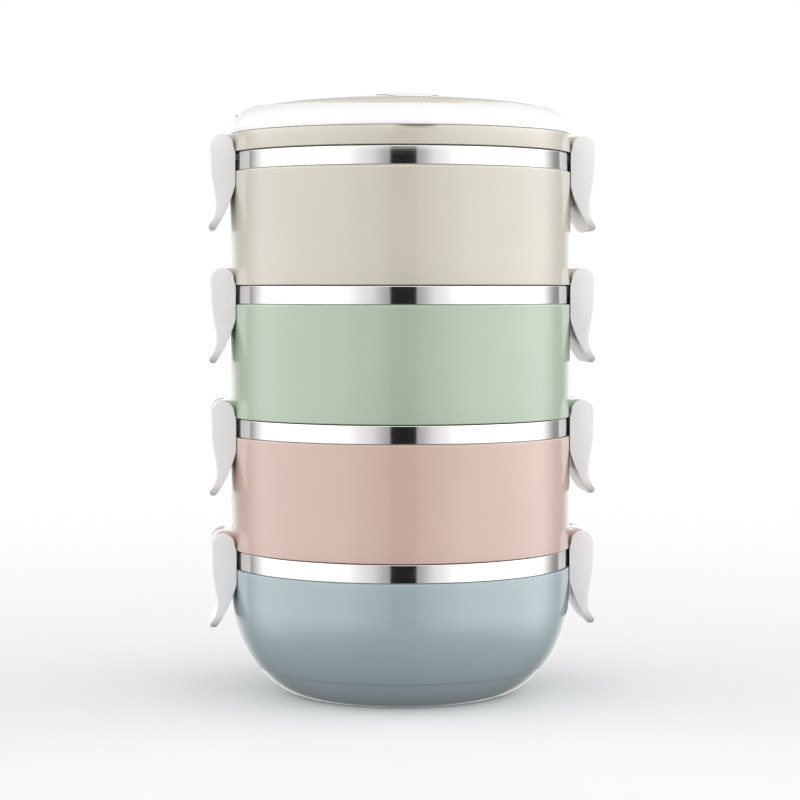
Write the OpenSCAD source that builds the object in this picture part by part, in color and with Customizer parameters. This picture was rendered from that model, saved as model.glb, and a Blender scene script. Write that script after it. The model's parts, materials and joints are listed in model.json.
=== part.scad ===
// Four-tier stacking food carrier: a bottom bowl, three straight tiers and a domed lid.
// Each tier is a moulded shell around a pressed steel liner, and two side latches hold each seam.
// Millimetres. +Z is up, the latches are on +X and -X, and the folded handle lies to the front, -Y.
// The origin is the centre of the bowl's foot, on the table.

/* [Tiers] */
// Outside diameter of the shells
body_d = 145; // [135:1:160]
// Height from one seam to the next
tier_h = 55.75; // [50:0.25:75]
// Height of the first seam above the table
bowl_h = 62; // [58:0.5:75]
// Height of the steel band that shows below each seam
band_h = 8; // [7:0.5:10]
// Width of the dark line at each seam
seam_gap = 0.7; // [0.5:0.05:0.9]
// Wall thickness of the moulded shells
wall = 2.2; // [1.9:0.1:2.3]
// Sheet thickness of the steel liners
sheet = 0.6; // [0.4:0.1:0.7]
// Radius of the bowl's flat foot
foot_r = 46.6; // [44:0.2:50]

/* [Lid] */
// Height of the lid's straight skirt, above its seam
skirt_h = 7.85; // [7.6:0.05:9]
// Height of the dome's top, above the lid's seam
dome_h = 24.2; // [23.4:0.05:24.8]
// Radius of curvature of the dome
dome_curve = 381; // [340:1:450]
// Width of the thumb notch in the skirt's top edge
notch_w = 21.5; // [12:0.5:24]
// Depth of the thumb notch
notch_d = 2.6; // [1.5:0.1:3]
// Radius of the vent plug's cap
vent_r = 13; // [10:0.5:14]
// Distance of the vent plug in front of the lid's centre
vent_y = 33; // [28:1:36]
// Width of the vent plug's pull tongue
tongue_w = 17; // [12:0.5:18]

/* [Handle] */
// Radial width of the handle's grip
grip_w = 10.1; // [9.5:0.1:10.3]
// Height of the handle's grip at its ends
grip_h = 12.15; // [11.6:0.05:12.3]
// How much lower the top of the grip is at the front
grip_fall = 2.8; // [0:0.05:3]
// Radius of the handle's pivot pins
handle_pin_r = 2; // [1.5:0.1:2.2]

/* [Latches] */
// Width of a latch, along the seam
latch_w = 35; // [32:0.5:38]
// Thickness of the latch's two cheeks
cheek_t = 3; // [2.5:0.1:3.2]
// Distance of the latch pivot outside the shell's surface
pivot_out = 3.6; // [3.6:0.05:3.9]
// Height of the latch pivot above the seam
pivot_up = 2.5; // [2.4:0.05:2.7]
// Radius of the latch's hinge pins
latch_pin_r = 1.25; // [1:0.05:1.5]

/* [Hidden] */
$fn = 96;

body_r = body_d / 2;
half_gap = seam_gap / 2;
seam_pink = bowl_h;
seam_green = bowl_h + tier_h;
seam_beige = bowl_h + 2 * tier_h;
seam_lid = bowl_h + 3 * tier_h;

// Steel rim: a half-round roll between the liner's wall and the band that shows outside.
band_r = body_r - 0.8;
roll_r = 1.9;
roll_c = band_r - roll_r;
liner_r = roll_c - roll_r;
roll_drop = half_gap + roll_r;
liner_floor = 3;
liner_fillet = 10;

// Moulded shell: a full wall up to the band, and a thinner neck inside the rolled rim.
neck_r = band_r - sheet - 0.2;
neck_in = liner_r + sheet + 0.7;
neck_top = roll_drop + 0.65;
neck_ramp = 1.1;
edge = 0.8;
land = 2.4;
spigot_r = liner_r - 1.9;
spigot_drop = 3.6;
spigot_wall = 2;
lip_r = liner_r - 0.4;

// Bowl: its sides follow an ellipse that ends on the flat foot.
bowl_c = 42;
bowl_b = 44;
bowl_a = (body_r - 0.2 - foot_r) / (1 - sqrt(1 - pow(bowl_c / bowl_b, 2)));
bowl_mid = body_r - 0.2 - bowl_a;
bowl_wall = 2.4;
foot_line = 11.85;
foot_inset = 0.4;
foot_in = foot_r - 6.6;
foot_recess = 1.2;
bowl_liner_floor = 4;
bowl_liner_mid = bowl_mid - 4;

// Latch hinge: a knuckle on each lug between the latch's two cheeks.
pivot_r = body_r + pivot_out;
knuckle_r = 4.6;
cheek_r = 4.7;
lug_w = latch_w - 2 * cheek_t - 0.8;
lug_root = body_r - 1.9;
pin_reach = latch_w / 2 - 1.2;
body_clear = 0.4;
tooth_clear = 0.9;
rib_out = 0.6;
rib_drop = 11.6;
rib_h = 1.6;
rib_w = 24;
wall_out = 1.6;
tooth_gap = 0.4;
tip_r = 1.55;
tip_drop = 31.3;
tip_corner = 6;
pivot_gap = 0.05;
seat_gap = 0.02;
// How far a cutting shape runs past what it cuts.
past = 20;

// Lid: a shelf for the handle around an upright dome wall.
shelf = seam_lid + skirt_h;
dome_top = seam_lid + dome_h;
grip_lift = 0.3;
grip_out = body_r;
grip_in = grip_out - grip_w;
dome_wall_r = grip_in - 0.6;
dome_edge = 1.5;
boss_r = grip_h / 2;
handle_z = shelf + grip_lift + boss_r;
pin_seat = 5;
socket_r = 4.5;
notch_depth = 3;
notch_curve = (pow(notch_w / 2, 2) + pow(notch_d, 2)) / (2 * notch_d);
stem_r = 4;
tube_r = 7;
cap_t = 0.6;
cap_gap = 0.05;
tongue_y = 48;
lip_low = 3.1;
lip_pitch = 1.5;
lip_t = 0.5;
band_seat = 0.1;

BEIGE = [0.86, 0.83, 0.76];
GREEN = [0.71, 0.80, 0.69];
PINK = [0.87, 0.74, 0.70];
BLUE = [0.66, 0.75, 0.77];
WHITE = [0.96, 0.96, 0.95];
STEEL = [0.78, 0.78, 0.79];
SILICONE = [0.62, 0.62, 0.60];

// Points along an arc about c, from angle a0 to a1.
function arc(c, r, a0, a1, n = 8) =
    [for (i = [0:n]) c + r * [cos(a0 + (a1 - a0) * i / n), sin(a0 + (a1 - a0) * i / n)]];

// Points along a curve from p0 to p2 that p1 pulls outward.
function curve(p0, p1, p2, n = 10) =
    [for (i = [0:n]) let (t = i / n) pow(1 - t, 2) * p0 + 2 * t * (1 - t) * p1 + t * t * p2];

// Radius of an ellipse-sided bowl at height z: centre radius m, half-width a, half-height b.
function bowl_side(m, a, b, z) = m + a * sqrt(max(0, 1 - pow((bowl_c - z) / b, 2)));

// Height of the dome's surface at radius r, above its own apex, plus an offset.
function dome_z(r, curve_r) = dome_top - curve_r + sqrt(curve_r * curve_r - r * r);

// The part of a shell's outline from the top of its full wall around the neck, for a seam at z.
function neck_points(z) = [
    [body_r, z - band_h - edge / 2],
    [body_r - edge / 2, z - band_h],
    [neck_r, z - band_h],
    [neck_r, z - neck_top],
    [neck_in, z - neck_top],
    [neck_in, z - band_h - edge],
    [body_r - wall, z - band_h - edge - neck_ramp]
];

// Mirrored pair of whatever is modelled on the +X side.
module both_sides() {
    children();
    mirror([1, 0, 0]) children();
}

// Cylinder along Y, centred on the latch pivot of the seam at z.
module on_pivot(z, r, w) {
    translate([pivot_r, 0, z + pivot_up])
        rotate([90, 0, 0])
            cylinder(r = r, h = w, center = true);
}

// Hinge lugs of the part above the seam at z.
module lugs(z) {
    both_sides() {
        difference() {
            union() {
                on_pivot(z, knuckle_r, lug_w);
                translate([lug_root, -lug_w / 2, z + half_gap])
                    cube([pivot_r - lug_root, lug_w, pivot_up + knuckle_r - half_gap]);
            }
            translate([lug_root - 1, -lug_w, z - knuckle_r])
                cube([pivot_r, 2 * lug_w, knuckle_r + half_gap]);
        }
    }
}

module lug_bores(z) {
    both_sides() on_pivot(z, latch_pin_r + seat_gap, latch_w);
}

// Catch ribs on the shell below the seam at z.
module catch_ribs(z) {
    intersection() {
        rotate_extrude()
            translate([body_r - 1, z - rib_drop])
                square([1 + rib_out, rib_h]);
        cube([2 * body_d, rib_w, 4 * z], center = true);
    }
}

// Straight tier shell standing on the seam at z, with its floor plug below.
module tier_shell(z) {
    top = z + tier_h;
    difference() {
        union() {
            rotate_extrude()
                polygon(concat(
                    [
                        [0, z - spigot_drop],
                        [spigot_r - edge, z - spigot_drop],
                        [spigot_r, z - spigot_drop + edge],
                        [spigot_r, z + half_gap]
                    ],
                    arc([body_r - edge, z + half_gap + edge], edge, -90, 0),
                    neck_points(top),
                    [
                        [body_r - wall, z + land],
                        [spigot_r - spigot_wall, z + land],
                        [spigot_r - spigot_wall, z - spigot_drop + spigot_wall],
                        [0, z - spigot_drop + spigot_wall]
                    ]
                ));
            lugs(z);
            catch_ribs(top);
        }
        lug_bores(z);
    }
}

// Rolled rim of a liner for the seam at z, from the foot of the band over to the inner wall.
function rim_points(z) = concat(
    arc([roll_c, z - roll_drop], roll_r - sheet, 180, 0, 12),
    [
        [band_r - sheet, z - band_h],
        [band_r, z - band_h]
    ],
    arc([roll_c, z - roll_drop], roll_r, 0, 180, 16)
);

// Pressed steel cup inside a straight tier.
module tier_liner(z) {
    base = z + liner_floor;
    round_c = [liner_r + sheet - liner_fillet, base + liner_fillet];
    rotate_extrude()
        polygon(concat(
            [[0, base]],
            arc(round_c, liner_fillet, -90, 0, 12),
            rim_points(z + tier_h),
            arc(round_c, liner_fillet - sheet, 0, -90, 12),
            [[0, base + sheet]]
        ));
}

// Silicone ring around a floor plug, with a flat flange at the seam and two soft lips.
module seal(z) {
    ring_r = spigot_r + 0.9;
    flange_r = band_r - 1.1;
    flange_z = z - half_gap + band_seat;
    low_lip = z - lip_low + lip_t;
    high_lip = low_lip + lip_pitch;
    rotate_extrude()
        polygon([
            [spigot_r, z + half_gap],
            [spigot_r, z - lip_low],
            [ring_r, z - lip_low],
            [lip_r, low_lip],
            [ring_r, low_lip + lip_t],
            [ring_r, high_lip - lip_t],
            [lip_r, high_lip],
            [ring_r, high_lip + lip_t],
            [ring_r, flange_z],
            [flange_r, flange_z],
            [flange_r, z + half_gap]
        ]);
}

module shell_beige() {
    color(BEIGE) tier_shell(seam_beige);
}

module shell_green() {
    color(GREEN) tier_shell(seam_green);
}

module shell_pink() {
    color(PINK) tier_shell(seam_pink);
}

// Bottom bowl: an elliptical side, a shallow step above the foot and a recessed underside.
module bowl_shell() {
    side_n = 20;
    foot_n = 8;
    inner_b = bowl_b - bowl_wall - 2;
    wall_low = foot_line + foot_inset;
    color(BLUE) {
        rotate_extrude()
            polygon(concat(
                [
                    [0, foot_recess],
                    [foot_in - foot_recess, foot_recess],
                    [foot_in, 0]
                ],
                [for (i = [0:foot_n]) let (z = foot_line * i / foot_n)
                    [bowl_side(bowl_mid, bowl_a, bowl_b, z) - foot_inset * i / foot_n, z]],
                [for (i = [0:side_n]) let (z = wall_low + (bowl_c - wall_low) * i / side_n)
                    [bowl_side(bowl_mid, bowl_a, bowl_b, z), z]],
                neck_points(bowl_h),
                [for (i = [0:side_n]) let (z = bowl_c - inner_b * sin(90 * i / side_n))
                    [bowl_side(bowl_mid, bowl_a - bowl_wall, inner_b, z), z]],
                [[0, bowl_c - inner_b]]
            ));
        catch_ribs(bowl_h);
    }
}

// Pressed steel bowl inside the bottom bowl.
module bowl_liner() {
    side_n = 20;
    out_a = liner_r + sheet - bowl_liner_mid;
    out_b = bowl_c - bowl_liner_floor;
    color(STEEL)
        rotate_extrude()
            polygon(concat(
                [[0, bowl_liner_floor]],
                [for (i = [side_n:-1:0]) let (z = bowl_c - out_b * sin(90 * i / side_n))
                    [bowl_side(bowl_liner_mid, out_a, out_b, z), z]],
                rim_points(bowl_h),
                [for (i = [0:side_n]) let (z = bowl_c - (out_b - sheet) * sin(90 * i / side_n))
                    [bowl_side(bowl_liner_mid, out_a - sheet, out_b - sheet, z), z]],
                [[0, bowl_liner_floor + sheet]]
            ));
}

module liner_beige() {
    color(STEEL) tier_liner(seam_beige);
}

module liner_green() {
    color(STEEL) tier_liner(seam_green);
}

module liner_pink() {
    color(STEEL) tier_liner(seam_pink);
}

module seal_beige() {
    color(SILICONE) seal(seam_beige);
}

module seal_green() {
    color(SILICONE) seal(seam_green);
}

module seal_pink() {
    color(SILICONE) seal(seam_pink);
}

// Lid moulding: skirt, handle shelf, upright wall and shallow dome, open below.
module lid_shell() {
    in_r = dome_wall_r - wall;
    corner_z = dome_z(dome_wall_r, dome_curve) - dome_edge;
    color(BEIGE)
        difference() {
            union() {
                rotate_extrude()
                    polygon(concat(
                        [[body_r - wall, seam_lid + half_gap]],
                        arc([body_r - edge, seam_lid + half_gap + edge], edge, -90, 0),
                        arc([body_r - edge / 2, shelf - edge / 2], edge / 2, 0, 90, 4),
                        [[dome_wall_r, shelf]],
                        arc([dome_wall_r - dome_edge, corner_z], dome_edge, 0, 80, 6),
                        [for (i = [1:16]) let (r = (dome_wall_r - 1.4 * dome_edge) * (1 - i / 16))
                            [r, dome_z(r, dome_curve)]],
                        [for (i = [0:16]) let (r = in_r * i / 16)
                            [r, dome_z(r, dome_curve) - wall]],
                        [
                            [in_r, shelf - wall],
                            [body_r - wall, shelf - wall]
                        ]
                    ));
                lugs(seam_lid);
                both_sides()
                    translate([in_r - pin_seat, 0, handle_z])
                        rotate([0, 90, 0])
                            cylinder(r = socket_r, h = pin_seat + wall / 2);
            }
            lug_bores(seam_lid);
            both_sides()
                translate([in_r - pin_seat - 1, 0, handle_z])
                    rotate([0, 90, 0])
                        cylinder(r = handle_pin_r + seat_gap, h = pin_seat + wall + 2);
            // Thumb notch at the front, under the folded handle.
            translate([0, -body_r - 1, shelf - notch_d + notch_curve])
                rotate([-90, 0, 0])
                    cylinder(r = notch_curve, h = notch_depth + 1);
            translate([0, -vent_y, seam_lid])
                cylinder(r = stem_r + pivot_gap, h = 2 * dome_h);
        }
}

// Inner plate that closes the lid and plugs the top tier's mouth, with the vent's tube.
module lid_inner_plate() {
    z = seam_lid;
    tube_top = dome_z(vent_y + tube_r, dome_curve) - wall - 0.2;
    color(WHITE)
        difference() {
            union() {
                rotate_extrude()
                    polygon([
                        [0, z - spigot_drop],
                        [spigot_r - edge, z - spigot_drop],
                        [spigot_r, z - spigot_drop + edge],
                        [spigot_r, z + half_gap],
                        [body_r - wall - 0.1, z + half_gap],
                        [body_r - wall - 0.1, z + land],
                        [spigot_r - spigot_wall, z + land],
                        [spigot_r - spigot_wall, z - spigot_drop + spigot_wall],
                        [0, z - spigot_drop + spigot_wall]
                    ]);
                translate([0, -vent_y, z - spigot_drop + spigot_wall / 2])
                    cylinder(r = tube_r, h = tube_top - z + spigot_drop - spigot_wall / 2);
            }
            translate([0, -vent_y, z - 2 * spigot_drop])
                cylinder(r = stem_r + 1, h = 2 * dome_h);
        }
}

module lid_seal() {
    color(SILICONE) seal(seam_lid);
}

// Vent plug: a round cap and a pull tongue that follow the dome, on a stem through it.
module vent_plug() {
    dome_c = [0, 0, dome_top - dome_curve];
    color(WHITE)
        difference() {
            intersection() {
                union() {
                    translate([0, -vent_y, seam_lid])
                        cylinder(r = vent_r, h = 2 * dome_h);
                    translate([0, -tongue_y, seam_lid])
                        cylinder(r = tongue_w / 2, h = 2 * dome_h);
                    translate([-tongue_w / 2, -tongue_y, seam_lid])
                        cube([tongue_w, tongue_y - vent_y, 2 * dome_h]);
                }
                translate(dome_c)
                    sphere(r = dome_curve + cap_t, $fn = 256);
            }
            // The cap's underside follows the dome, which leaves it a skin's width clear.
            difference() {
                translate(dome_c)
                    sphere(r = dome_curve + cap_gap, $fn = 256);
                translate([0, -vent_y, seam_lid])
                    cylinder(r = stem_r, h = 2 * dome_h);
            }
        }
}

// Section of the grip, as radius and height: an outer side that leans in to a narrow top edge.
function grip_points(low) = concat(
    [
        [grip_in, low + 3.8],
        [grip_in + 1.3, low],
        [grip_out - edge, low],
        [grip_out, low + edge]
    ],
    curve([grip_out, low + 1.9], [grip_out - 1.1, low + 0.68 * grip_h], [grip_in + 1, low + grip_h - 0.3]),
    [
        [grip_in + 0.4, low + grip_h],
        [grip_in, low + grip_h - 0.6]
    ]
);

// Bail handle folded to the front, with a round boss at each pivot.
module carry_handle() {
    low = shelf + grip_lift;
    color(WHITE)
        difference() {
            intersection() {
                rotate_extrude()
                    polygon(grip_points(low));
                union() {
                    // The top of the grip slopes down from the pivots to the front.
                    rotate([90, 0, 90])
                        linear_extrude(height = 2 * body_d, center = true)
                            polygon([
                                [0, low],
                                [0, low + grip_h],
                                [-grip_in, low + grip_h - grip_fall],
                                [-body_d, low + grip_h - grip_fall * body_d / grip_in],
                                [-body_d, low]
                            ]);
                    both_sides()
                        translate([grip_in - 1, 0, handle_z])
                            rotate([0, 90, 0])
                                cylinder(r = boss_r, h = grip_w + 2);
                }
            }
            both_sides()
                translate([grip_in - 1, 0, handle_z])
                    rotate([0, 90, 0])
                        cylinder(r = handle_pin_r + pivot_gap, h = grip_w - 1);
        }
}

// Steel pivot pins pressed into the lid, one on each side.
module handle_pins() {
    start = dome_wall_r - wall - pin_seat + 0.5;
    color(STEEL)
        both_sides()
            translate([start, 0, handle_z])
                rotate([0, 90, 0])
                    cylinder(r = handle_pin_r, h = grip_in - start + grip_w - 2.4);
}

// Outline of a latch, as radius and height, for the seam at z: round the knuckle, down its inner
// side to the tip, and back up a waisted outer side.
function latch_outline(z) = let (at = [pivot_r, z]) concat(
    arc(at + [0, pivot_up], cheek_r, 0, 180, 16),
    curve(at + [-cheek_r, -14.6], at + [-3.9, -21], at + [2.76, -32.1], 12),
    arc(at + [4.1, -tip_drop], tip_r, 225, 375, 8),
    curve(at + [5.45, -30.3], at + [2, -26.2], at + [2.75, -20], 8),
    curve(at + [2.8, -19.6], at + [3.6, -14.8], at + [4.55, -9], 8)
);

// The same latch seen from its side, with round lower corners.
function latch_face(z) = let (corner = [latch_w / 2 - tip_corner, z - tip_drop - tip_r + tip_corner]) concat(
    arc([-corner.x, corner.y], tip_corner, 180, 270),
    arc(corner, tip_corner, 270, 360),
    [
        [latch_w / 2, z + past],
        [-latch_w / 2, z + past]
    ]
);

// Latch on the +X side: two cheeks and an outer wall that flares out to a lift tip.
module latch(z) {
    slot_w = latch_w - 2 * cheek_t;
    hollow_in = pivot_r - 6;
    color(WHITE)
        difference() {
            intersection() {
                rotate([90, 0, 0])
                    linear_extrude(height = latch_w, center = true)
                        polygon(latch_outline(z));
                rotate([90, 0, 90])
                    linear_extrude(height = body_d)
                        polygon(latch_face(z));
            }
            // Clearance for the shell behind it, deeper between the cheeks.
            translate([0, 0, z - 2 * past])
                cylinder(r = body_r + body_clear, h = 3 * past, $fn = 180);
            intersection() {
                translate([0, 0, z - 2 * past])
                    cylinder(r = body_r + tooth_clear, h = 3 * past, $fn = 180);
                cube([4 * body_r, slot_w, 8 * z], center = true);
            }
            // Room for the knuckle and its neck.
            on_pivot(z, knuckle_r + 0.35, slot_w);
            translate([pivot_r - past, -slot_w / 2, z - pivot_up])
                cube([past, slot_w, past]);
            translate([pivot_r - 1, -slot_w / 2, z + 0.5])
                cube([past, slot_w, past]);
            // Hollow behind the wall, above the catch's tooth.
            translate([hollow_in, -slot_w / 2, z - rib_drop - tooth_gap])
                cube([pivot_r + wall_out - hollow_in, slot_w, rib_drop]);
            on_pivot(z, latch_pin_r + pivot_gap, 2 * pin_reach + 0.2);
        }
}

module left_latch(z) {
    mirror([1, 0, 0]) latch(z);
}

// Two hinge pins of the part above the seam at z.
module latch_pins(z) {
    color(STEEL) both_sides() on_pivot(z, latch_pin_r, 2 * pin_reach);
}

lid_shell();
lid_inner_plate();
lid_seal();
vent_plug();
carry_handle();
handle_pins();
shell_beige();
shell_green();
shell_pink();
bowl_shell();
liner_beige();
liner_green();
liner_pink();
bowl_liner();
seal_beige();
seal_green();
seal_pink();
latch_pins(seam_lid);  // latch_pins_lid
latch_pins(seam_beige);  // latch_pins_beige
latch_pins(seam_green);  // latch_pins_green
latch_pins(seam_pink);  // latch_pins_pink
left_latch(seam_lid);  // latch_lid_left
latch(seam_lid);  // latch_lid_right
left_latch(seam_beige);  // latch_beige_left
latch(seam_beige);  // latch_beige_right
left_latch(seam_green);  // latch_green_left
latch(seam_green);  // latch_green_right
left_latch(seam_pink);  // latch_pink_left
latch(seam_pink);  // latch_pink_right
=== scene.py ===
import bpy
from math import asin, cos, degrees, hypot, pi, radians, sin, sqrt
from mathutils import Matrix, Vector
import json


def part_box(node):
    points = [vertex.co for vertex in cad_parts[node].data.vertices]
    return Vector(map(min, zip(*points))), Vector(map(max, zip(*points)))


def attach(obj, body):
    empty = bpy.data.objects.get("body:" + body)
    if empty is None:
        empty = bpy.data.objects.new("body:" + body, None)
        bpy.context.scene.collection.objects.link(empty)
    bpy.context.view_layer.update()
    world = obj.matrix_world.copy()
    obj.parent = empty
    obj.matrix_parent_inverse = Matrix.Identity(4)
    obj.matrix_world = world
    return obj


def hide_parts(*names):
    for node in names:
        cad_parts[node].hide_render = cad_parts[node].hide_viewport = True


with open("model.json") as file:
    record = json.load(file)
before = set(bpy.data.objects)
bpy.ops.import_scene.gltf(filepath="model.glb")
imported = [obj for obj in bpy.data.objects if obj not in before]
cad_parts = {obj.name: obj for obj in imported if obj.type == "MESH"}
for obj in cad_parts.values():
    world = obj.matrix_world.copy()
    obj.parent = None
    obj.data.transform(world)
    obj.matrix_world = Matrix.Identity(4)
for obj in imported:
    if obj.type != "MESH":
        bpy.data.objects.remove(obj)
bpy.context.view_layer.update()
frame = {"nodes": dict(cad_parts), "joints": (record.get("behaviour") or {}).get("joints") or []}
scene = bpy.context.scene


# ---------------------------------------------------------------- camera
# A long portrait lens a metre away, a little above the middle of the stack and turned five degrees
# towards the left latches, so that the carrier fills the frame with almost no perspective.

LENS_MM = 105.5
CAMERA_REACH = 1.004
CAMERA_TURN = radians(-5)
CAMERA_HEIGHT = 0.1717
AIM = Vector((-0.0002, 0, 0.1244))

bpy.ops.object.select_all(action="DESELECT")
bpy.ops.object.camera_add(location=(
    sin(CAMERA_TURN) * CAMERA_REACH,
    -cos(CAMERA_TURN) * CAMERA_REACH,
    CAMERA_HEIGHT,
))
camera = bpy.context.object
camera.name = "camera"
camera.data.lens = LENS_MM
camera.data.sensor_width = 36
camera.data.clip_start = 0.01
camera.rotation_euler = (AIM - camera.location).to_track_quat("-Z", "Y").to_euler()
scene.camera = camera


# ---------------------------------------------------------------- bottom bowl
# The bowl is injection moulded in glossy polypropylene: an egg-shaped side on a flat ring foot,
# with a fine step where the foot begins and a thin neck that the steel rim rolls over.

MM = 0.001
BODY_R = 72.5
WALL = 2.2
EDGE = 0.8
SHELL_EDGE = 0.25
HALF_SEAM = 0.12
BAND_R = BODY_R - 0.8
BAND_H = 8
ROLL_R = 1.9
SHEET = 0.6
ROLL_C = BAND_R - ROLL_R
LINER_R = ROLL_C - ROLL_R
ROLL_DROP = HALF_SEAM + ROLL_R
NECK_R = BAND_R - SHEET - 0.2
NECK_IN = LINER_R + SHEET + 0.7
RIB_OUT = 0.6
RIB_DROP = 11.6
RIB_H = 1.6
RIB_W = 14
RIB_SLOPE = 0.1
SPIGOT_DROP = 3.6
NECK_ROUND = 0.4
NECK_GAP = 0.65
NECK_FLARE = 1.1
BODY_SPIN = 160

bowl_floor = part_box("bowl_shell")[0].z
bowl_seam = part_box("shell_pink")[0].z + SPIGOT_DROP * MM


def arc(centre, radius, start, end, steps=8):
    """Points in degrees along an arc in the outline's plane."""
    x, z = centre
    turns = [radians(start + (end - start) * i / steps) for i in range(steps + 1)]
    return [(x + radius * cos(t), z + radius * sin(t)) for t in turns]


def only(piece):
    """Selects one piece and nothing else."""
    bpy.ops.object.select_all(action="DESELECT")
    piece.select_set(True)
    bpy.context.view_layer.objects.active = piece


def drawn(name, outline, plane):
    """Draws an outline in millimetres, point by point; plane turns its two numbers into a place."""
    bpy.ops.object.select_all(action="DESELECT")
    bpy.ops.mesh.primitive_plane_add(size=MM, location=(0, 0, 0))
    piece = bpy.context.object
    piece.name = name
    piece.data.name = name
    places = [Vector(plane(a, b)) * MM for a, b in outline]
    bpy.ops.object.mode_set(mode="EDIT")
    bpy.ops.mesh.select_all(action="SELECT")
    bpy.ops.mesh.merge(type="CENTER")
    bpy.ops.transform.translate(value=places[0])
    for here, there in zip(places, places[1:]):
        bpy.ops.mesh.extrude_vertices_move(TRANSFORM_OT_translate={"value": there - here})
    bpy.ops.mesh.select_all(action="SELECT")
    return piece


def smooth(piece, angle=32):
    only(piece)
    bpy.ops.object.shade_smooth_by_angle(angle=radians(angle))
    return piece


def turned(name, outline, base, steps=BODY_SPIN):
    """A piece turned about the stack's axis. Its outline starts and ends on the axis, or closes."""
    piece = drawn(name, outline, lambda r, z: (r, 0, z + base / MM))
    bpy.ops.mesh.spin(steps=steps, angle=2 * pi, center=(0, 0, 0), axis=(0, 0, 1))
    bpy.ops.mesh.select_all(action="SELECT")
    bpy.ops.mesh.remove_doubles(threshold=0.004 * MM)
    bpy.ops.mesh.normals_make_consistent(inside=False)
    bpy.ops.object.mode_set(mode="OBJECT")
    return smooth(piece)


def thicken(offset):
    """Fills the outline that is being drawn and extrudes it by an offset in metres."""
    bpy.ops.mesh.edge_face_add()
    bpy.ops.mesh.extrude_region_move(TRANSFORM_OT_translate={"value": offset})
    bpy.ops.mesh.select_all(action="SELECT")
    bpy.ops.mesh.normals_make_consistent(inside=False)
    bpy.ops.object.mode_set(mode="OBJECT")


def slab(name, outline, base, width):
    """A flat outline in the XZ plane, thickened to both sides of it along Y."""
    piece = drawn(name, outline, lambda x, z: (x, -width / 2, z + base / MM))
    thicken((0, width * MM, 0))
    return piece


def rod(radius, depth, y, middle, vertices=64):
    """An upright cylinder in millimetres. Only the height of its middle is in metres."""
    bpy.ops.object.select_all(action="DESELECT")
    bpy.ops.mesh.primitive_cylinder_add(
        vertices=vertices,
        radius=radius * MM,
        depth=depth * MM,
        location=(0, y * MM, middle),
    )
    return bpy.context.object


def copied(piece, name):
    """A copy of a piece, with its own mesh."""
    only(piece)
    bpy.ops.object.duplicate(linked=False)
    copy = bpy.context.object
    copy.name = name
    copy.data.name = name
    return copy


def mirrored(piece, name):
    """A copy of a piece on the other side of the X = 0 plane."""
    copy = copied(piece, name)
    bpy.ops.object.mode_set(mode="EDIT")
    bpy.ops.mesh.select_all(action="SELECT")
    bpy.ops.transform.mirror(constraint_axis=(True, False, False), center_override=(0, 0, 0))
    bpy.ops.mesh.normals_make_consistent(inside=False)
    bpy.ops.object.mode_set(mode="OBJECT")
    return copy


def lifted(piece, name, rise):
    """A copy of a piece, raised by that many metres."""
    copy = copied(piece, name)
    bpy.ops.transform.translate(value=(0, 0, rise))
    bpy.ops.object.transform_apply(location=True, rotation=True, scale=True)
    return copy


def combine(piece, tool, operation):
    """Adds a tool to a piece, cuts it out or keeps what they share, and clears the tool away."""
    only(piece)
    step = piece.modifiers.new(operation.lower(), "BOOLEAN")
    step.operation = operation
    step.solver = "EXACT"
    step.object = tool
    bpy.ops.object.modifier_apply(modifier=step.name)
    bpy.data.objects.remove(tool, do_unlink=True)
    bpy.ops.object.mode_set(mode="EDIT")
    bpy.ops.mesh.select_all(action="SELECT")
    bpy.ops.mesh.remove_doubles(threshold=0.01 * MM)
    bpy.ops.object.mode_set(mode="OBJECT")
    return piece


def soften(piece, width, segments=3, angle=35):
    """Rounds a piece's sharp edges."""
    only(piece)
    step = piece.modifiers.new("rounding", "BEVEL")
    step.width = width * MM
    step.segments = segments
    step.limit_method = "ANGLE"
    step.angle_limit = radians(angle)
    step.use_clamp_overlap = True
    bpy.ops.object.modifier_apply(modifier=step.name)
    return piece


def neck(top):
    """The outline over a shell's top edge and round the neck inside the steel rim."""
    ledge = top - BAND_H
    neck_top = top - ROLL_DROP - NECK_GAP
    return arc((BODY_R - NECK_ROUND, ledge - NECK_ROUND), NECK_ROUND, 0, 90, 4) + [
        (NECK_R, ledge),
        (NECK_R, neck_top),
        (NECK_IN, neck_top),
        (NECK_IN, ledge - EDGE),
        (BODY_R - WALL, ledge - EDGE - NECK_FLARE),
    ]


def add_ribs(shell, seam):
    """Adds the two catch ribs that a shell carries under its latches."""
    low = -RIB_DROP
    rib = slab("rib", [
        (BODY_R - 1, low),
        (BODY_R + RIB_SLOPE, low),
        (BODY_R + RIB_OUT, low + 0.3),
        (BODY_R + RIB_OUT, low + RIB_H - 0.7),
        (BODY_R + RIB_SLOPE, low + RIB_H),
        (BODY_R - 1, low + RIB_H),
    ], seam, RIB_W)
    combine(shell, mirrored(rib, "rib_left"), "UNION")
    combine(shell, rib, "UNION")


FOOT_R = 46.6
FOOT_IN = 40
FOOT_RECESS = 1.2
FOOT_LINE = 11.85
FOOT_INSET = 0.8
FOOT_STEP = 0.25
BOWL_WAIST = 42
BOWL_DEPTH = 44
BOWL_WALL = 2.4
BOWL_R = BODY_R - 0.2
BOWL_HALF = (BOWL_R - FOOT_R) / (1 - sqrt(1 - (BOWL_WAIST / BOWL_DEPTH) ** 2))
BOWL_MID = BOWL_R - BOWL_HALF
BOWL_INNER_DEPTH = BOWL_DEPTH - BOWL_WALL - 2
GATE_R = 3.2


def egg(middle, half, depth, z):
    """Radius of an egg-shaped side at height z."""
    return middle + half * sqrt(max(0, 1 - ((BOWL_WAIST - z) / depth) ** 2))


def egg_side(middle, half, depth, heights):
    """Points of an egg-shaped side at those heights."""
    return [(egg(middle, half, depth, z), z) for z in heights]


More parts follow.
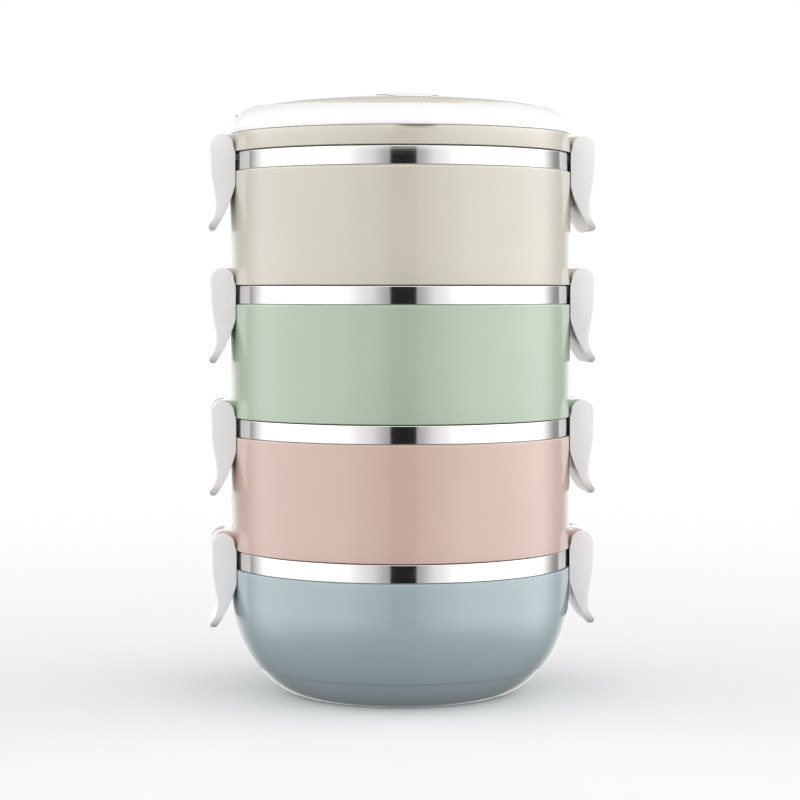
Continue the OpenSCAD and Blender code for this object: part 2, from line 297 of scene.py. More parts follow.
bowl_top = (bowl_seam - bowl_floor) / MM
foot_side = [FOOT_LINE * i / 10 for i in range(1, 11)]
high_side = [
    FOOT_LINE + FOOT_STEP + (BOWL_WAIST - FOOT_LINE - FOOT_STEP) * i / 22 for i in range(23)
]
inner_side = [BOWL_WAIST - BOWL_INNER_DEPTH * sin(pi / 2 * i / 20) for i in range(21)]

bowl_shell = turned(
    "bowl_shell_moulding",
    [(0, FOOT_RECESS + 0.6), (GATE_R - 0.4, FOOT_RECESS + 0.6), (GATE_R, FOOT_RECESS)]
    + [(FOOT_IN - 1.6, FOOT_RECESS), (FOOT_IN - 0.9, FOOT_RECESS - 0.25), (FOOT_IN - 0.2, 0.12)]
    + [(FOOT_IN + 0.4, 0), (FOOT_R - 0.8, 0), (FOOT_R - 0.15, 0.22)]
    + [(r - FOOT_INSET * z / FOOT_LINE, z)
       for r, z in egg_side(BOWL_MID, BOWL_HALF, BOWL_DEPTH, foot_side)]
    + egg_side(BOWL_MID, BOWL_HALF, BOWL_DEPTH, high_side)
    + [(BODY_R - 0.08, 46), (BODY_R, 50)]
    + neck(bowl_top)
    + egg_side(BOWL_MID, BOWL_HALF - BOWL_WALL, BOWL_INNER_DEPTH, inner_side)
    + [(0, BOWL_WAIST - BOWL_INNER_DEPTH)],
    bowl_floor,
)
add_ribs(bowl_shell, bowl_seam)
smooth(bowl_shell)


class Wire:
    """An output inside a finish. Arithmetic on wires adds Math nodes."""

    def __init__(self, finish, socket):
        self.finish = finish
        self.socket = socket

    def maths(self, operation, first, second):
        return self.finish.node("ShaderNodeMath", {"operation": operation}, {0: first, 1: second})

    def __add__(self, other):
        return self.maths("ADD", self, other)

    __radd__ = __add__

    def __sub__(self, other):
        return self.maths("SUBTRACT", self, other)

    def __rsub__(self, other):
        return self.maths("SUBTRACT", other, self)

    def __mul__(self, other):
        return self.maths("MULTIPLY", self, other)

    __rmul__ = __mul__

    def __abs__(self):
        return self.finish.node("ShaderNodeMath", {"operation": "ABSOLUTE"}, {0: self})


class Finish:
    """A material on one Principled shader, with its nodes added by name."""

    def __init__(self, name, fixed):
        self.material = bpy.data.materials.new(name)
        self.material.use_nodes = True
        self.tree = self.material.node_tree
        self.shader = self.tree.nodes["Principled BSDF"]
        for socket, value in fixed.items():
            self.shader.inputs[socket].default_value = value
        self.place = self.node("ShaderNodeTexCoord", out="Object")

    def node(self, kind, settings=None, inputs=None, out=0):
        """Adds any node: its settings first, then the values or wires of its inputs."""
        node = self.tree.nodes.new(kind)
        for setting, value in (settings or {}).items():
            setattr(node, setting, value)
        for socket, value in (inputs or {}).items():
            self.join(node.inputs[socket], value)
        return Wire(self, node.outputs[out])

    def join(self, socket, value):
        if isinstance(value, Wire):
            self.tree.links.new(value.socket, socket)
        else:
            socket.default_value = value

    def feed(self, socket, value):
        self.join(self.shader.inputs[socket], value)

    def noise(self, size, detail=3, stretch=(1, 1, 1), roughness=0.5):
        """Cloudy noise from 0 to 1, with features of that size in metres."""
        scale = tuple(s / size for s in stretch)
        place = self.node("ShaderNodeMapping", inputs={"Vector": self.place, "Scale": scale})
        return self.node(
            "ShaderNodeTexNoise",
            inputs={"Vector": place, "Scale": 1.0, "Detail": detail, "Roughness": roughness},
        )

    def ease(self, value, low, high, at_low=0.0, at_high=1.0):
        """A soft step as value goes from low to high."""
        return self.node(
            "ShaderNodeMapRange",
            {"interpolation_type": "SMOOTHSTEP"},
            {
                "Value": value,
                "From Min": low,
                "From Max": high,
                "To Min": at_low,
                "To Max": at_high,
            },
        )

    def mix(self, share, first, second):
        return self.node(
            "ShaderNodeMix",
            {"data_type": "RGBA"},
            {0: share, 6: first, 7: second},
            out=2,
        )

    def bump(self, height, depth):
        """Relief from a height of 0 to 1 that is depth metres deep."""
        relief = {"Height": height, "Distance": depth, "Strength": 1.0}
        self.feed("Normal", self.node("ShaderNodeBump", inputs=relief))

    def split(self, vector):
        """The three parts of a vector, as wires."""
        node = self.tree.nodes.new("ShaderNodeSeparateXYZ")
        self.join(node.inputs[0], vector)
        return [Wire(self, part) for part in node.outputs]

    def height(self):
        return self.split(self.place)[2]

    def radius(self):
        """Distance from the stack's axis."""
        x, y, _ = self.split(self.place)
        flat = self.node("ShaderNodeCombineXYZ", inputs={0: x, 1: y})
        return self.node("ShaderNodeVectorMath", {"operation": "LENGTH"}, {0: flat}, out="Value")


def shade(colour, factor):
    """A colour made lighter or darker, with its alpha."""
    return tuple(min(1, c * factor) for c in colour) + (1,)


def moulded(name, colour, rub_lines):
    """Glossy moulded polypropylene: faint cloudiness, a fine orange-peel skin and rubbed edges."""
    gloss = {"IOR": 1.49, "Coat Weight": 1.0, "Coat Roughness": 0.02, "Coat IOR": 1.5}
    finish = Finish(name, gloss)
    clouds = finish.noise(0.045, 2)
    flecks = finish.noise(0.0011, 4)
    skin = finish.noise(0.0016, 2, roughness=0.4)
    height = finish.height()
    rub = 0.0
    for line in rub_lines:
        rub = finish.ease(abs(height - line), 0.0002, 0.0012, 1.0, 0.0) + rub
    rub = rub * finish.ease(flecks, 0.52, 0.70)
    cloudy = finish.mix(finish.ease(clouds, 0.3, 0.7), shade(colour, 0.975), shade(colour, 1.02))
    finish.feed("Base Color", finish.mix(rub * 0.35, cloudy, shade(colour, 1.12)))
    finish.feed("Roughness", 0.2 + 0.07 * clouds + 0.03 * flecks + 0.2 * rub)
    finish.bump(skin + 0.25 * flecks, 0.000006)
    return finish.material


def dress(piece, material):
    piece.data.materials.clear()
    piece.data.materials.append(material)


POWDER_BLUE = (0.345, 0.435, 0.459)

bowl_edges = [bowl_floor, bowl_seam - BAND_H * MM]
dress(bowl_shell, moulded("powder_blue_plastic", POWDER_BLUE, bowl_edges))
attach(bowl_shell, "bowl")
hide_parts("bowl_shell")


# ---------------------------------------------------------------- bowl's steel liner
# A cup is deep drawn from 0.6 mm stainless sheet and polished to a mirror, and its rim is rolled
# outward and down over the shell's neck, so that a bright band shows below the seam.

BOWL_LINER_FLOOR = 4
LINER_MID = BOWL_MID - 4
RIM_STEPS = 8
RIM_EDGE = 0.55
RIM_SPIN = 192
RINGS = 900


def rim(top):
    """The outline of a rolled rim, from the liner's outside over the roll's underside and back."""
    roll = (ROLL_C, top - ROLL_DROP)
    low = top - BAND_H
    band = [
        (BAND_R - SHEET, low + 0.35),
        (BAND_R - SHEET + 0.15, low + 0.22),
        (BAND_R - 0.18, low + 0.22),
        (BAND_R, low + 0.4),
        (BAND_R, top - ROLL_DROP - 2.6),
    ]
    edge = (BAND_R - RIM_EDGE, top - HALF_SEAM - RIM_EDGE)
    return (
        arc(roll, ROLL_R - SHEET, 180, 0, 10)
        + band
        + arc(edge, RIM_EDGE, 0, 90, RIM_STEPS)
        + arc(roll, ROLL_R, 90, 180, RIM_STEPS)
    )


def polished(name):
    """Mirror-polished stainless steel, with faint rings from the wheel and fine wipe marks."""
    finish = Finish(name, {"Metallic": 1.0, "IOR": 2.5})
    rings_at = finish.node(
        "ShaderNodeCombineXYZ",
        inputs={0: finish.radius() * RINGS, 1: finish.height() * RINGS},
    )
    rings = finish.node(
        "ShaderNodeTexNoise",
        inputs={"Vector": rings_at, "Scale": 1.0, "Detail": 4.0},
    )
    wipes = finish.noise(0.004, 3, stretch=(1, 1, 9))
    haze = finish.noise(0.03, 2)
    tone = finish.mix(haze, (0.70, 0.69, 0.675, 1), (0.76, 0.755, 0.745, 1))
    finish.feed("Base Color", tone)
    finish.feed("Roughness", 0.045 + 0.05 * rings + 0.035 * finish.ease(wipes, 0.45, 0.75))
    finish.bump(rings + 0.4 * wipes, 0.000003)
    return finish.material


mirror_steel = polished("mirror_steel")
liner_half = LINER_R + SHEET - LINER_MID
liner_depth = BOWL_WAIST - BOWL_LINER_FLOOR
rising = [sin(pi / 2 * i / 24) for i in range(25)]
outside = [BOWL_WAIST - liner_depth * s for s in rising[::-1]]
inside = [BOWL_WAIST - (liner_depth - SHEET) * s for s in rising]

bowl_liner = turned(
    "bowl_liner_cup",
    [(0, BOWL_LINER_FLOOR)]
    + egg_side(LINER_MID, liner_half, liner_depth, outside)
    + rim(bowl_top)
    + egg_side(LINER_MID, liner_half - SHEET, liner_depth - SHEET, inside)
    + [(12, BOWL_LINER_FLOOR + SHEET), (11.4, BOWL_LINER_FLOOR + SHEET + 0.25),
       (0, BOWL_LINER_FLOOR + SHEET + 0.25)],
    bowl_floor,
    steps=RIM_SPIN,
)
dress(bowl_liner, mirror_steel)
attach(bowl_liner, "bowl")
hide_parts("bowl_liner")


# ---------------------------------------------------------------- tier shells
# Three straight tiers come from one mould in three colours. Each has a floor that plugs into the
# rim below, a hinge lug on each side of its bottom edge and a catch rib on each side near its top.

TIERS = ("pink", "green", "beige")
TIER_COLOURS = {
    "pink": (0.598, 0.426, 0.368),
    "green": (0.398, 0.492, 0.372),
    "beige": (0.592, 0.558, 0.473),
}
LAND = 2.4
SPIGOT_R = LINER_R - 1.9
SPIGOT_WALL = 2
PIVOT_R = BODY_R + 3.6
PIVOT_UP = 2.5
KNUCKLE_R = 4.6
LUG_W = 28.2
LUG_ROOT = BODY_R - 1.9

seams = {tier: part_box("shell_" + tier)[0].z + SPIGOT_DROP * MM for tier in TIERS}
seams["lid"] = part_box("lid_inner_plate")[0].z + SPIGOT_DROP * MM
tier_h = (seams["green"] - seams["pink"]) / MM


def add_lugs(shell, seam):
    """Adds the two hinge lugs at the bottom edge of the part above a seam."""
    low_angle = degrees(asin((HALF_SEAM - PIVOT_UP) / KNUCKLE_R))
    lug = slab("lug", [(LUG_ROOT, HALF_SEAM)]
               + arc((PIVOT_R, PIVOT_UP), KNUCKLE_R, low_angle, 90, 14)
               + [(LUG_ROOT, PIVOT_UP + KNUCKLE_R)], seam, LUG_W)
    soften(lug, 0.45, 3, 50)
    combine(shell, mirrored(lug, "lug_left"), "UNION")
    combine(shell, lug, "UNION")


pink_shell = turned(
    "shell_pink_moulding",
    [(0, -SPIGOT_DROP + 0.5), (GATE_R - 0.4, -SPIGOT_DROP + 0.5), (GATE_R, -SPIGOT_DROP)]
    + [(40, -SPIGOT_DROP), (40.5, -SPIGOT_DROP + 0.3)]
    + [(42.5, -SPIGOT_DROP + 0.3), (43, -SPIGOT_DROP)]
    + arc((SPIGOT_R - EDGE, -SPIGOT_DROP + EDGE), EDGE, -90, 0, 5)
    + [(SPIGOT_R, HALF_SEAM)]
    + arc((BODY_R - SHELL_EDGE, HALF_SEAM + SHELL_EDGE), SHELL_EDGE, -90, 0, 4)
    + [(BODY_R, PIVOT_UP + KNUCKLE_R + 0.5), (BODY_R, tier_h - RIB_DROP - 0.6)]
    + [(BODY_R, tier_h - RIB_DROP + RIB_H + 0.6)]
    + neck(tier_h)
    + [(BODY_R - WALL, LAND), (SPIGOT_R - SPIGOT_WALL, LAND)]
    + [(SPIGOT_R - SPIGOT_WALL, SPIGOT_WALL - SPIGOT_DROP), (0, SPIGOT_WALL - SPIGOT_DROP)],
    seams["pink"],
)
add_lugs(pink_shell, seams["pink"])
add_ribs(pink_shell, seams["green"])
smooth(pink_shell)

tier_shells = {"pink": pink_shell}
for tier in ("green", "beige"):
    name = "shell_" + tier + "_moulding"
    tier_shells[tier] = lifted(pink_shell, name, seams[tier] - seams["pink"])
for tier, shell in tier_shells.items():
    edges = [seams[tier] + HALF_SEAM * MM, seams[tier] + (tier_h - BAND_H) * MM]
    dress(shell, moulded(tier + "_plastic", TIER_COLOURS[tier], edges))
    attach(shell, tier + "_tier")
    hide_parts("shell_" + tier)
    tier + "_plastic"


# ---------------------------------------------------------------- tier liners
# The same drawn and polished steel as the bowl's, with upright sides and a round corner at the
# floor. A shallow pressed disc stiffens the middle of the floor.

LINER_FLOOR = 3
LINER_FILLET = 10

corner = (LINER_R + SHEET - LINER_FILLET, LINER_FLOOR + LINER_FILLET)
pink_liner = turned(
    "liner_pink_cup",
    [(0, LINER_FLOOR)]
    + arc(corner, LINER_FILLET, -90, 0, 12)
    + rim(tier_h)
    + arc(corner, LINER_FILLET - SHEET, 0, -90, 12)
    + [(45, LINER_FLOOR + SHEET), (44.2, LINER_FLOOR + SHEET + 0.3)]
    + [(43.4, LINER_FLOOR + SHEET + 0.4), (0, LINER_FLOOR + SHEET + 0.4)],
    seams["pink"],
    steps=RIM_SPIN,
)
tier_liners = {"pink": pink_liner}
for tier in ("green", "beige"):
    tier_liners[tier] = lifted(pink_liner, "liner_" + tier + "_cup", seams[tier] - seams["pink"])
for tier, liner in tier_liners.items():
    dress(liner, mirror_steel)
    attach(liner, tier + "_tier")
    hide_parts("liner_" + tier)


# ---------------------------------------------------------------- seals
# A grey silicone ring is stretched round each floor plug and the lid's. Its flat flange fills the
# seam, and its dark grey is partly painted shade: it stands in for the shadow in the seam, the
# dark line above each steel band. Two soft lips wipe the liner's wall.

LIP_R = LINER_R - 0.4
FLANGE_R = BAND_R - 1
RING_SPIN = 128


def silicone(name, colour):
    """Soft silicone: nearly matt, slightly dusty, with mould-skin pores."""
    finish = Finish(name, {"IOR": 1.41})
    dust = finish.noise(0.006, 4)
    pores = finish.noise(0.0006, 3)
    finish.feed("Base Color", finish.mix(dust, shade(colour, 0.93), shade(colour, 1.05)))
    finish.feed("Roughness", 0.42 + 0.16 * dust)
    finish.bump(pores, 0.00003)
    return finish.material


def seal_ring(name, seam):
    """The ring's section: its wall, two lips of the same shape, and its flange."""
    low, hole = -3.1, SPIGOT_R + 0.9
    flange = -HALF_SEAM + 0.04
    inner = SPIGOT_R + 0.02
    return turned(
        name,
        [(inner, HALF_SEAM - 0.02), (inner, low), (hole - 0.2, low), (hole, low + 0.15)]
        + [(LIP_R - 0.1, -2.72), (LIP_R, -2.6), (LIP_R - 0.1, -2.48), (hole, -2.1), (hole, -1.6)]
        + [(LIP_R - 0.1, -1.22), (LIP_R, -1.1), (LIP_R - 0.1, -0.98), (hole, -0.6), (hole, flange)]
        + [(FLANGE_R - 0.05, flange), (FLANGE_R, flange + 0.05), (FLANGE_R, HALF_SEAM - 0.07)]
        + [(FLANGE_R - 0.05, HALF_SEAM - 0.02), (inner, HALF_SEAM - 0.02)],
        seam,
        steps=RING_SPIN,
    )


# The seal's dark grey is partly real silicone and partly painted shade for the shadow in each seam.
seam_shade_silicone = silicone("seam_shade_silicone", (0.26, 0.255, 0.25))
for place in TIERS + ("lid",):
    ring = seal_ring(("seal_" + place if place != "lid" else "lid_seal") + "_ring", seams[place])
    dress(ring, seam_shade_silicone)
    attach(ring, "lid" if place == "lid" else place + "_tier")
    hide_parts("lid_seal" if place == "lid" else "seal_" + place)


# ---------------------------------------------------------------- lid
# The lid is one moulding: a short skirt, a shelf that the handle lies on, an upright wall and a
# shallow dome. A thumb notch is scooped out of the skirt's top edge at the front.

SKIRT_H = 7.85
DOME_H = 24.2
DOME_CURVE = 381
GRIP_IN = BODY_R - 10.1
DOME_R = GRIP_IN - 0.6
DOME_EDGE = 1.5
DOME_INNER = DOME_R - WALL
VENT_Y = 33
STEM_R = 4
NOTCH_W = 21.5
NOTCH_D = 2.6
NOTCH_CURVE = ((NOTCH_W / 2) ** 2 + NOTCH_D ** 2) / (2 * NOTCH_D)
NOTCH_IN = 3
BORE_GAP = 0.05
BORE_DEPTH = 8


def dome(radius):
    """Height of the dome's surface above the lid's seam."""
    return DOME_H - DOME_CURVE + sqrt(DOME_CURVE ** 2 - radius ** 2)


shrink = [1 - i / 24 for i in range(25)]
dome_flat = DOME_R - 1.4 * DOME_EDGE
lid_shell = turned(
    "lid_shell_moulding",
    [(BODY_R - WALL, HALF_SEAM)]
    + arc((BODY_R - SHELL_EDGE, HALF_SEAM + SHELL_EDGE), SHELL_EDGE, -90, 0, 4)
    + arc((BODY_R - 0.4, SKIRT_H - 0.4), 0.4, 0, 90, 4)
    + [(DOME_R + 0.6, SKIRT_H), (DOME_R + 0.17, SKIRT_H + 0.17), (DOME_R, SKIRT_H + 0.6)]
    + arc((DOME_R - DOME_EDGE, dome(DOME_R) - DOME_EDGE), DOME_EDGE, 0, 80, 8)
    + [(dome_flat * s, dome(dome_flat * s)) for s in shrink[1:]]
    + [(DOME_INNER * s, dome(DOME_INNER * s) - WALL) for s in shrink[::-1]]
    + [(DOME_INNER, SKIRT_H - WALL), (BODY_R - WALL, SKIRT_H - WALL), (BODY_R - WALL, HALF_SEAM)],
    seams["lid"],
    steps=RIM_SPIN,
)
add_lugs(lid_shell, seams["lid"])

bpy.ops.object.select_all(action="DESELECT")
bpy.ops.mesh.primitive_cone_add(
    vertices=128,
    radius1=(NOTCH_CURVE + NOTCH_IN) * MM,
    radius2=(NOTCH_CURVE - NOTCH_IN) * MM,
    depth=2 * NOTCH_IN * MM,
    location=(0, -BODY_R * MM, seams["lid"] + (SKIRT_H - NOTCH_D + NOTCH_CURVE) * MM),
    rotation=(-pi / 2, 0, 0),
)
combine(lid_shell, bpy.context.object, "DIFFERENCE")

vent_bore = rod(STEM_R + BORE_GAP, BORE_DEPTH, -VENT_Y, seams["lid"] + DOME_H * MM)
combine(lid_shell, vent_bore, "DIFFERENCE")
smooth(lid_shell)

lid_edges = [seams["lid"] + HALF_SEAM * MM, seams["lid"] + SKIRT_H * MM]
dress(lid_shell, moulded("lid_plastic", TIER_COLOURS["beige"], lid_edges))
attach(lid_shell, "lid")
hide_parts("lid_shell")


# ---------------------------------------------------------------- lid's inner plate
# A white moulded plate snaps into the lid from below and plugs the top tier. A tube rises from it
# to the dome, so that steam reaches the vent plug and nothing else.

TUBE_R = 7
BORE_R = STEM_R + 1
TUBE_BORE_DEPTH = 60
PLATE_R = BODY_R - WALL - 0.1


def satin(name, colour):
    """White moulded plastic, satin, with a fine spark-eroded grain."""
    finish = Finish(name, {"IOR": 1.49})
    clouds = finish.noise(0.04, 2)
    grain = finish.noise(0.0007, 3)
    finish.feed("Base Color", finish.mix(clouds, shade(colour, 0.97), shade(colour, 1.01)))
    finish.feed("Roughness", 0.36 + 0.10 * clouds + 0.06 * grain)
    finish.bump(grain, 0.00002)
    return finish.material


inner_plate = turned(
    "lid_inner_plate_moulding",
    [(0, -SPIGOT_DROP), (50, -SPIGOT_DROP), (50.5, -SPIGOT_DROP + 0.3), (52.5, -SPIGOT_DROP + 0.3)]
    + [(53, -SPIGOT_DROP)]
    + arc((SPIGOT_R - EDGE, -SPIGOT_DROP + EDGE), EDGE, -90, 0, 5)
    + [(SPIGOT_R, HALF_SEAM), (PLATE_R, HALF_SEAM), (PLATE_R, LAND), (SPIGOT_R - SPIGOT_WALL, LAND)]
    + [(SPIGOT_R - SPIGOT_WALL, SPIGOT_WALL - SPIGOT_DROP), (0, SPIGOT_WALL - SPIGOT_DROP)],
    seams["lid"],
    steps=RING_SPIN,
)
tube_top = dome(VENT_Y + TUBE_R) - WALL - 0.2
tube_low = 1 - SPIGOT_DROP
tube_middle = seams["lid"] + (tube_top + tube_low) / 2 * MM
combine(inner_plate, rod(TUBE_R, tube_top - tube_low, -VENT_Y, tube_middle), "UNION")
combine(inner_plate, rod(BORE_R, TUBE_BORE_DEPTH, -VENT_Y, seams["lid"]), "DIFFERENCE")
smooth(inner_plate)
dress(inner_plate, satin("inner_white_plastic", (0.80, 0.80, 0.775)))
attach(inner_plate, "lid")
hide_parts("lid_inner_plate")


# ---------------------------------------------------------------- vent plug
# A white silicone plug closes the steam vent. Its thin round cap and its pull tongue lie on the
# dome and follow it, and its stem runs down through the lid.

CAP_R = 13
CAP_T = 0.6
CAP_GAP = 0.05
TONGUE_W = 17
TONGUE_Y = 48
KEYHOLE_ANGLE = degrees(asin(TONGUE_W / 2 / CAP_R))
GRID_X = 2
GRID_Y = 3
GRID_MIDDLE = -38

round_cap = arc((0, 0), CAP_R, KEYHOLE_ANGLE - 90, 270 - KEYHOLE_ANGLE, 56)
keyhole = [(x, -VENT_Y + y) for x, y in round_cap]
keyhole += arc((0, -TONGUE_Y), TONGUE_W / 2, 180, 360, 28)
vent_plug = drawn("vent_plug_cap", keyhole, lambda x, y: (x, y, seams["lid"] / MM + CAP_GAP))
thicken((0, 0, (CAP_T - CAP_GAP) * MM))
soften(vent_plug, 0.22, 3, 50)

# The flat cap is cut into a grid and then laid on the dome.
bpy.ops.object.mode_set(mode="EDIT")
for i in range(-6, 7):
    across_x = ((GRID_X * i * MM, 0, 0), (1, 0, 0))
    across_y = ((0, (GRID_Y * i + GRID_MIDDLE) * MM, 0), (0, 1, 0))
    for cut, across in (across_x, across_y):
        bpy.ops.mesh.select_all(action="SELECT")
        bpy.ops.mesh.bisect(plane_co=cut, plane_no=across)
bpy.ops.object.mode_set(mode="OBJECT")
for point in vent_plug.data.vertices:
    point.co.z += dome(hypot(point.co.x, point.co.y) / MM) * MM

stem_middle = seams["lid"] + (dome(VENT_Y) + 0.6) / 2 * MM
stem = rod(STEM_R, dome(VENT_Y) - 0.2, -VENT_Y, stem_middle)
bpy.ops.object.transform_apply(location=True, rotation=True, scale=True)
soften(stem, 0.4, 3, 50)
combine(vent_plug, stem, "UNION")
smooth(vent_plug)
dress(vent_plug, silicone("white_silicone", (0.86, 0.86, 0.85)))
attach(vent_plug, "vent")
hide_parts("vent_plug")


# ---------------------------------------------------------------- carry handle
# The bail handle is a half ring of white moulded plastic with a big rounded shoulder. It lies on
# the lid's shelf at rest, and each of its ends is a round boss on a steel pivot pin.

GRIP_LIFT = 0.12
GRIP_H = 12.33
GRIP_FALL = 2.8
BOSS_R = GRIP_H / 2
HANDLE_SHELF = SKIRT_H + GRIP_LIFT
HANDLE_SPIN = 256
HALF_REACH = 90

swing = next(joint for joint in frame["joints"] if joint["name"] == "handle_swing")
pivot_z = (swing["pos_m"][2] - seams["lid"]) / MM


def bend(start, pull, end, steps=12):
    """Points along a curve from start to end that pull draws outward."""
    shares = [i / steps for i in range(steps + 1)]
    return [
        tuple((1 - t) ** 2 * a + 2 * t * (1 - t) * b + t * t * c
              for a, b, c in zip(start, pull, end))
        for t in shares
    ]


low, high = HANDLE_SHELF, HANDLE_SHELF + GRIP_H
section = (
    arc((BODY_R - 0.35, low + 0.35), 0.35, -90, 0, 4)
    + bend((BODY_R, low + 1.9), (BODY_R - 1.1, low + 8.3), (GRIP_IN + 1.1, high - 0.5), 20)
    + bend((GRIP_IN + 1.1, high - 0.5), (GRIP_IN + 0.1, high), (GRIP_IN, high - 0.9), 5)[1:]
    + [(GRIP_IN, low + 3.8)]
    + bend((GRIP_IN + 1.0, low + 0.9), (GRIP_IN + 1.2, low), (GRIP_IN + 2.0, low), 4)
)
carry_handle = turned("carry_handle_bail", section + section[:1], seams["lid"], HANDLE_SPIN)

side_cut = drawn(
    "side_cut",
    [(-HALF_REACH, low - 3), (0, low - 3)]
    + arc((0, pivot_z), BOSS_R, -90, 90, 28)
    + [(0, high + 4), (-HALF_REACH, high + 4)],
    lambda y, z: (-HALF_REACH, y, z + seams["lid"] / MM),
)
thicken((2 * HALF_REACH * MM, 0, 0))
combine(carry_handle, side_cut, "INTERSECT")
grip_low = seams["lid"] + low * MM
for point in carry_handle.data.vertices:
    share = max(0, -point.co.y) / (GRIP_IN * MM) * (point.co.z - grip_low) / (GRIP_H * MM)
    point.co.z -= share * GRIP_FALL * MM
smooth(carry_handle, 40)


def glossy_white(name, colour):
    """White glossy plastic that hands touch: a soft sheen, faint fingerprints and hairline wear."""
    finish = Finish(name, {"IOR": 1.5, "Coat Weight": 0.2, "Coat Roughness": 0.08})
    clouds = finish.noise(0.03, 2)
    prints = finish.noise(0.012, 5, roughness=0.6)
    hairs = finish.noise(0.0012, 3, stretch=(1, 7, 1))
    finish.feed("Base Color", finish.mix(clouds, shade(colour, 0.985), shade(colour, 1.01)))
    marks = 0.05 * finish.ease(prints, 0.4, 0.7)
    finish.feed("Roughness", 0.24 + marks + 0.05 * finish.ease(hairs, 0.5, 0.8))
    finish.bump(hairs, 0.000002)
    return finish.material


WHITE = (0.89, 0.89, 0.89)
white_plastic = glossy_white("white_plastic", WHITE)
dress(carry_handle, white_plastic)
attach(carry_handle, "handle")
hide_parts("carry_handle")


# ---------------------------------------------------------------- latches
# Eight latches are moulded alike: two cheeks that turn on a pin either side of the lug, an outer
# wall that lies over the seam, a catch tooth behind it and a tip that flares out for a finger.

LATCH_W = 35
CHEEK_T = 3
CHEEK_R = 4.7
SLOT_W = LATCH_W - 2 * CHEEK_T
TOOTH_OUT = 0.9
WALL_IN = PIVOT_R + 1.6
SLOT_R = KNUCKLE_R + 0.35
TIP_R = 1.55
TIP_DROP = 31.3
TIP_CORNER = 6
CHEEK_GAP = 0.3
CORNER_STEPS = 12
SLOT_IN = 66
SLOT_TOP = 14
SLOT_LOW = -24

latch_side = (
    arc((PIVOT_R, PIVOT_UP), CHEEK_R, 0, 180, 28)
    + [(PIVOT_R - 5.9, -1.5)]
    + bend((PIVOT_R - 5.9, -12), (PIVOT_R - 4.4, -20.5), (PIVOT_R + 2.76, -32.1), 24)
    + arc((PIVOT_R + 4.1, -TIP_DROP), TIP_R, 220, 380, 12)
    + bend((PIVOT_R + 5.45, -30.3), (PIVOT_R + 2, -26.2), (PIVOT_R + 2.75, -20), 16)
    + bend((PIVOT_R + 2.8, -19.6), (PIVOT_R + 3.6, -14.8), (PIVOT_R + 4.55, -9), 12)
    + [(PIVOT_R + 4.68, -4)]
)
latch = slab("latch_lid_right_lever", latch_side, seams["lid"], LATCH_W)

# The lower corners are rounded: the sides are cut into levels, which move in along an arc.
corner_z = seams["lid"] + (TIP_CORNER - TIP_DROP - TIP_R) * MM
bpy.ops.object.mode_set(mode="EDIT")
for i in range(CORNER_STEPS):
    bpy.ops.mesh.select_all(action="SELECT")
    level = corner_z - TIP_CORNER * MM * sin(pi / 2 * i / CORNER_STEPS)
    bpy.ops.mesh.bisect(plane_co=(0, 0, level), plane_no=(0, 0, 1))
bpy.ops.object.mode_set(mode="OBJECT")
for point in latch.data.vertices:
    drop = min(1, max(0, (corner_z - point.co.z) / (TIP_CORNER * MM)))
    point.co.y *= 1 - TIP_CORNER * (1 - sqrt(1 - drop * drop)) / (LATCH_W / 2)
soften(latch, 1.1, 5, 50)

wall_top = -degrees(asin((PIVOT_UP - 0.5) / SLOT_R))
slot_side = (
    [(SLOT_IN, SLOT_TOP), (PIVOT_R + 14, SLOT_TOP), (PIVOT_R + 14, 0.5)]
    + arc((PIVOT_R, PIVOT_UP), SLOT_R, wall_top, -68, 8)
    + [(WALL_IN, -3.2), (WALL_IN, -RIB_DROP - 0.1), (WALL_IN - 0.5, -RIB_DROP - 0.4)]
    + [(BODY_R + TOOTH_OUT + 0.3, -RIB_DROP - 0.4), (BODY_R + TOOTH_OUT, -RIB_DROP - 0.7)]
    + [(BODY_R + TOOTH_OUT, SLOT_LOW), (SLOT_IN, SLOT_LOW)]
)
slot_tool = slab("slot_tool", slot_side, seams["lid"], SLOT_W)
combine(latch, slot_tool, "DIFFERENCE")
body_room = rod(BODY_R + CHEEK_GAP, 60, 0, seams["lid"] - 15 * MM, vertices=192)
combine(latch, body_room, "DIFFERENCE")
smooth(latch, 40)
dress(latch, white_plastic)

latches = {("lid", "right"): latch, ("lid", "left"): mirrored(latch, "latch_lid_left_lever")}
for tier in TIERS:
    for side in ("left", "right"):
        name = "latch_" + tier + "_" + side + "_lever"
        latches[tier, side] = lifted(latches["lid", side], name, seams[tier] - seams["lid"])
for (tier, side), lever in latches.items():
    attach(lever, tier + "_" + side + "_latch")
    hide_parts("latch_" + tier + "_" + side)


# ---------------------------------------------------------------- hinge pins
# The pins are cut from drawn stainless wire and pressed into the lugs and the lid. They keep the
# fine lengthwise lines of the drawing die.


def drawn_wire(name):
    """Drawn stainless wire: a dull shine, with fine lines along its length."""
    finish = Finish(name, {"Metallic": 1.0})
    lines = finish.noise(0.0008, 3, stretch=(1, 0.05, 1))
    haze = finish.noise(0.01, 2)
    finish.feed("Base Color", finish.mix(haze, (0.55, 0.545, 0.53, 1), (0.63, 0.625, 0.61, 1)))
    finish.feed("Roughness", 0.22 + 0.14 * lines)
    finish.bump(lines, 0.00001)
    return finish.material


wire_steel = drawn_wire("wire_steel")
for name in ["handle_pins"] + ["latch_pins_" + place for place in TIERS + ("lid",)]:
    dress(frame["nodes"][name], wire_steel)


# ---------------------------------------------------------------- floor and light
# The carrier stands on a pale table inside a white light tent. The tent is brightest at both
# sides, dims towards the back, and has a narrow dark opening in front for the lens.

FLOOR_R = 3
FLOOR_Z = -0.0002
FADE_FROM = 0.3
FADE_TO = 0.9

scene.view_settings.view_transform = "Standard"

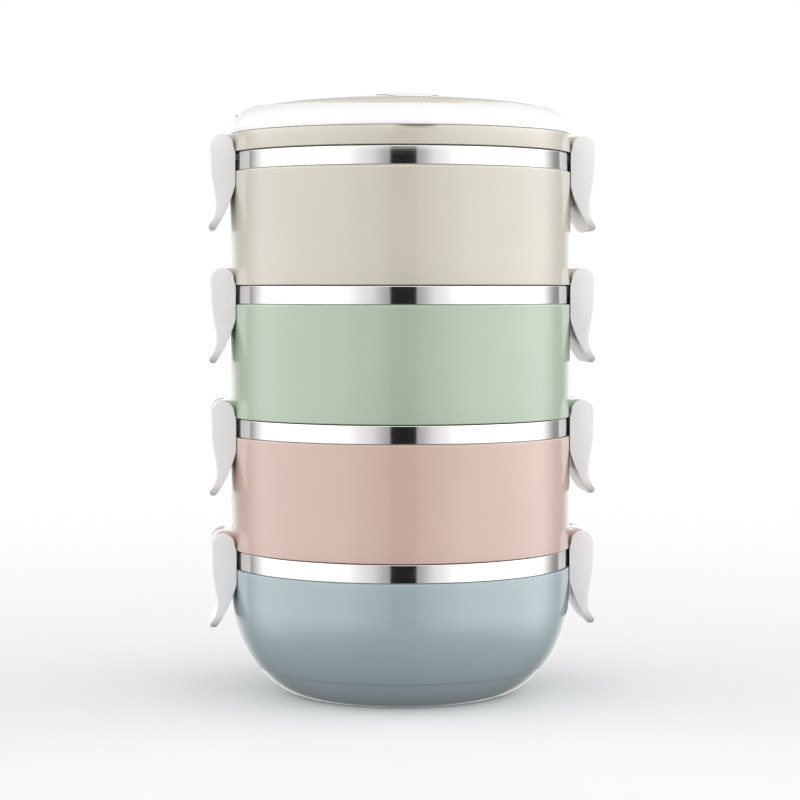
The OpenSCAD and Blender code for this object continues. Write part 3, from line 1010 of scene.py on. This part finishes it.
bpy.ops.object.select_all(action="DESELECT")
bpy.ops.mesh.primitive_circle_add(
    vertices=96,
    radius=FLOOR_R,
    fill_type="NGON",
    location=(0, 0, FLOOR_Z),
)
floor = bpy.context.object
floor.name = "floor"
bpy.ops.object.transform_apply(location=True, rotation=True, scale=True)
pale = Finish("pale_table", {"Roughness": 0.6, "Base Color": (0.93, 0.93, 0.93, 1)})
pale.feed("Alpha", pale.ease(pale.radius(), FADE_FROM, FADE_TO, 1.0, 0.0))
dress(floor, pale.material)
floor.visible_diffuse = False
floor.visible_glossy = False

LENS_GAP = 8.8
LENS_EDGE = 0.6
LENS_DARK = 0.02
LENS_ASIDE = 2
BACK_LIGHT = 0.34
ROOF_LIGHT = 0.5
LOW_LIGHT = 0.22


class Tent(Finish):
    """The light tent: a world whose brightness depends on the direction it is seen in."""

    def __init__(self, name):
        world = bpy.data.worlds.new(name)
        world.use_nodes = True
        scene.world = world
        self.tree = world.node_tree
        self.glow = self.tree.nodes["Background"]
        self.glow.inputs["Color"].default_value = (1, 1, 1, 1)
        self.place = self.node("ShaderNodeTexCoord", out="Generated")


tent = Tent("light_tent")
east, north, up = tent.split(tent.place)
ahead = sin(CAMERA_TURN) * east - cos(CAMERA_TURN) * north
aside = cos(CAMERA_TURN) * east + sin(CAMERA_TURN) * north
turn = tent.node("ShaderNodeMath", {"operation": "ARCTAN2"}, {0: aside, 1: ahead}) * (180 / pi)
turn = abs(turn - LENS_ASIDE)

beside_lens = 0.5 + 0.5 * tent.ease(turn, 10, 24) + 0.6 * tent.ease(turn, 22, 46)
level = LENS_DARK + beside_lens * tent.ease(turn, LENS_GAP - LENS_EDGE, LENS_GAP + LENS_EDGE)
behind = tent.ease(turn, 102, 130)
level = level * (1 - behind) + BACK_LIGHT * behind + 0.75 * tent.ease(turn, 136, 160)
raised = 1.7 + 1.15 * tent.ease(turn, 30, 80) - 2.25 * tent.ease(turn, 110, 150)
tilt = tent.ease(up, 0.1, 0.26)
wall = (level * (1 - tilt) + raised * tilt) * tent.ease(aside, -1.0, 1.0, 0.95, 1.08)
roof = tent.ease(up, 0.5, 0.8)
table = tent.ease(up, -0.2, -0.55)
glow = wall * (1 - roof) + ROOF_LIGHT * roof
glow = glow * (1 - table) + LOW_LIGHT * table
seen = tent.node("ShaderNodeLightPath", out="Is Camera Ray")
tent.join(tent.glow.inputs["Strength"], glow * (1 - seen) + seen)

import json
